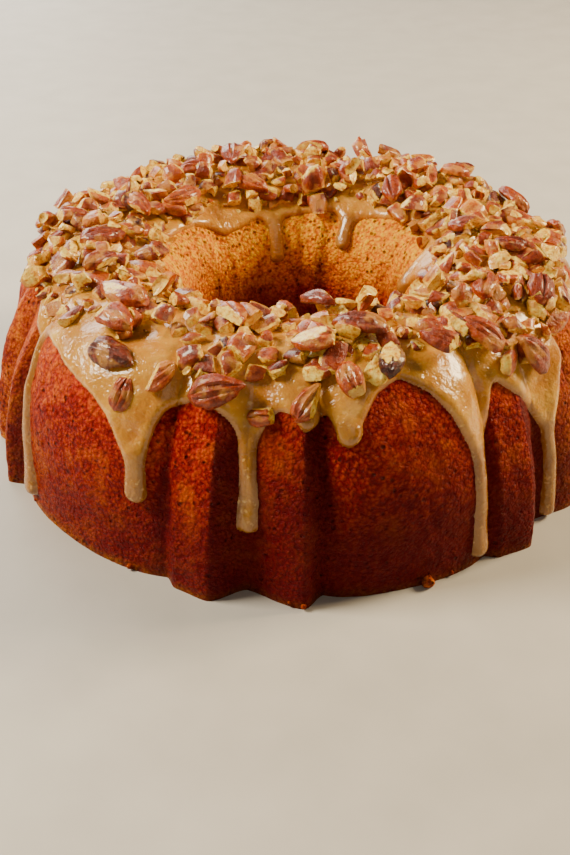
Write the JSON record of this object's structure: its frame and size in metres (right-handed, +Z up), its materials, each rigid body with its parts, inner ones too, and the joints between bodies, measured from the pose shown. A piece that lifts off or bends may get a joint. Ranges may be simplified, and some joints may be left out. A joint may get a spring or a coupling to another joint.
{
  "type": "pecan apple bundt cake",
  "caption": "Fluted ring cake with a central hole, caramel glaze running down its ribbed side and a crown of chopped and halved pecans.",
  "frame": {"origin": "centre of the cake's box on the surface that it rests on, which is the middle of its central hole", "axes": "+Z up along the ring's axis, -Y towards the side shown in front"},
  "size_m": [0.2473, 0.2537, 0.0902],
  "materials": {
    "crust": "satin, fine baked grain",
    "chopped_pecan": "rough broken nut, part skin and part pale flesh",
    "pecan_skin": "satin grooved nut skin"
  },
  "bodies": {
    "root": {"bundt_cake": "crust", "chopped_pecans": "chopped_pecan", "pecan_piece_01": "pecan_skin", "pecan_piece_02": "pecan_skin", "pecan_piece_03": "pecan_skin", "pecan_piece_04": "pecan_skin", "pecan_piece_05": "pecan_skin", "pecan_piece_06": "pecan_skin", "pecan_piece_07": "pecan_skin", "pecan_piece_08": "pecan_skin", "pecan_piece_09": "pecan_skin", "pecan_piece_10": "pecan_skin", "pecan_piece_11": "pecan_skin", "pecan_piece_12": "pecan_skin", "pecan_piece_13": "pecan_skin", "pecan_piece_14": "pecan_skin", "pecan_piece_15": "pecan_skin", "pecan_piece_16": "pecan_skin", "pecan_piece_17": "pecan_skin", "pecan_piece_18": "pecan_skin", "pecan_piece_19": "pecan_skin", "pecan_piece_20": "pecan_skin", "pecan_piece_21": "pecan_skin", "pecan_piece_22": "pecan_skin", "pecan_piece_23": "pecan_skin", "pecan_piece_24": "pecan_skin", "pecan_piece_25": "pecan_skin", "pecan_piece_26": "pecan_skin", "pecan_piece_27": "pecan_skin", "pecan_piece_28": "pecan_skin", "pecan_piece_29": "pecan_skin", "pecan_piece_30": "pecan_skin", "pecan_piece_31": "pecan_skin", "pecan_piece_32": "pecan_skin", "pecan_piece_33": "pecan_skin", "pecan_piece_34": "pecan_skin", "pecan_piece_35": "pecan_skin", "pecan_piece_36": "pecan_skin", "pecan_piece_37": "pecan_skin", "pecan_piece_38": "pecan_skin", "pecan_piece_39": "pecan_skin", "pecan_piece_40": "pecan_skin"}
  },
  "joints": []
}
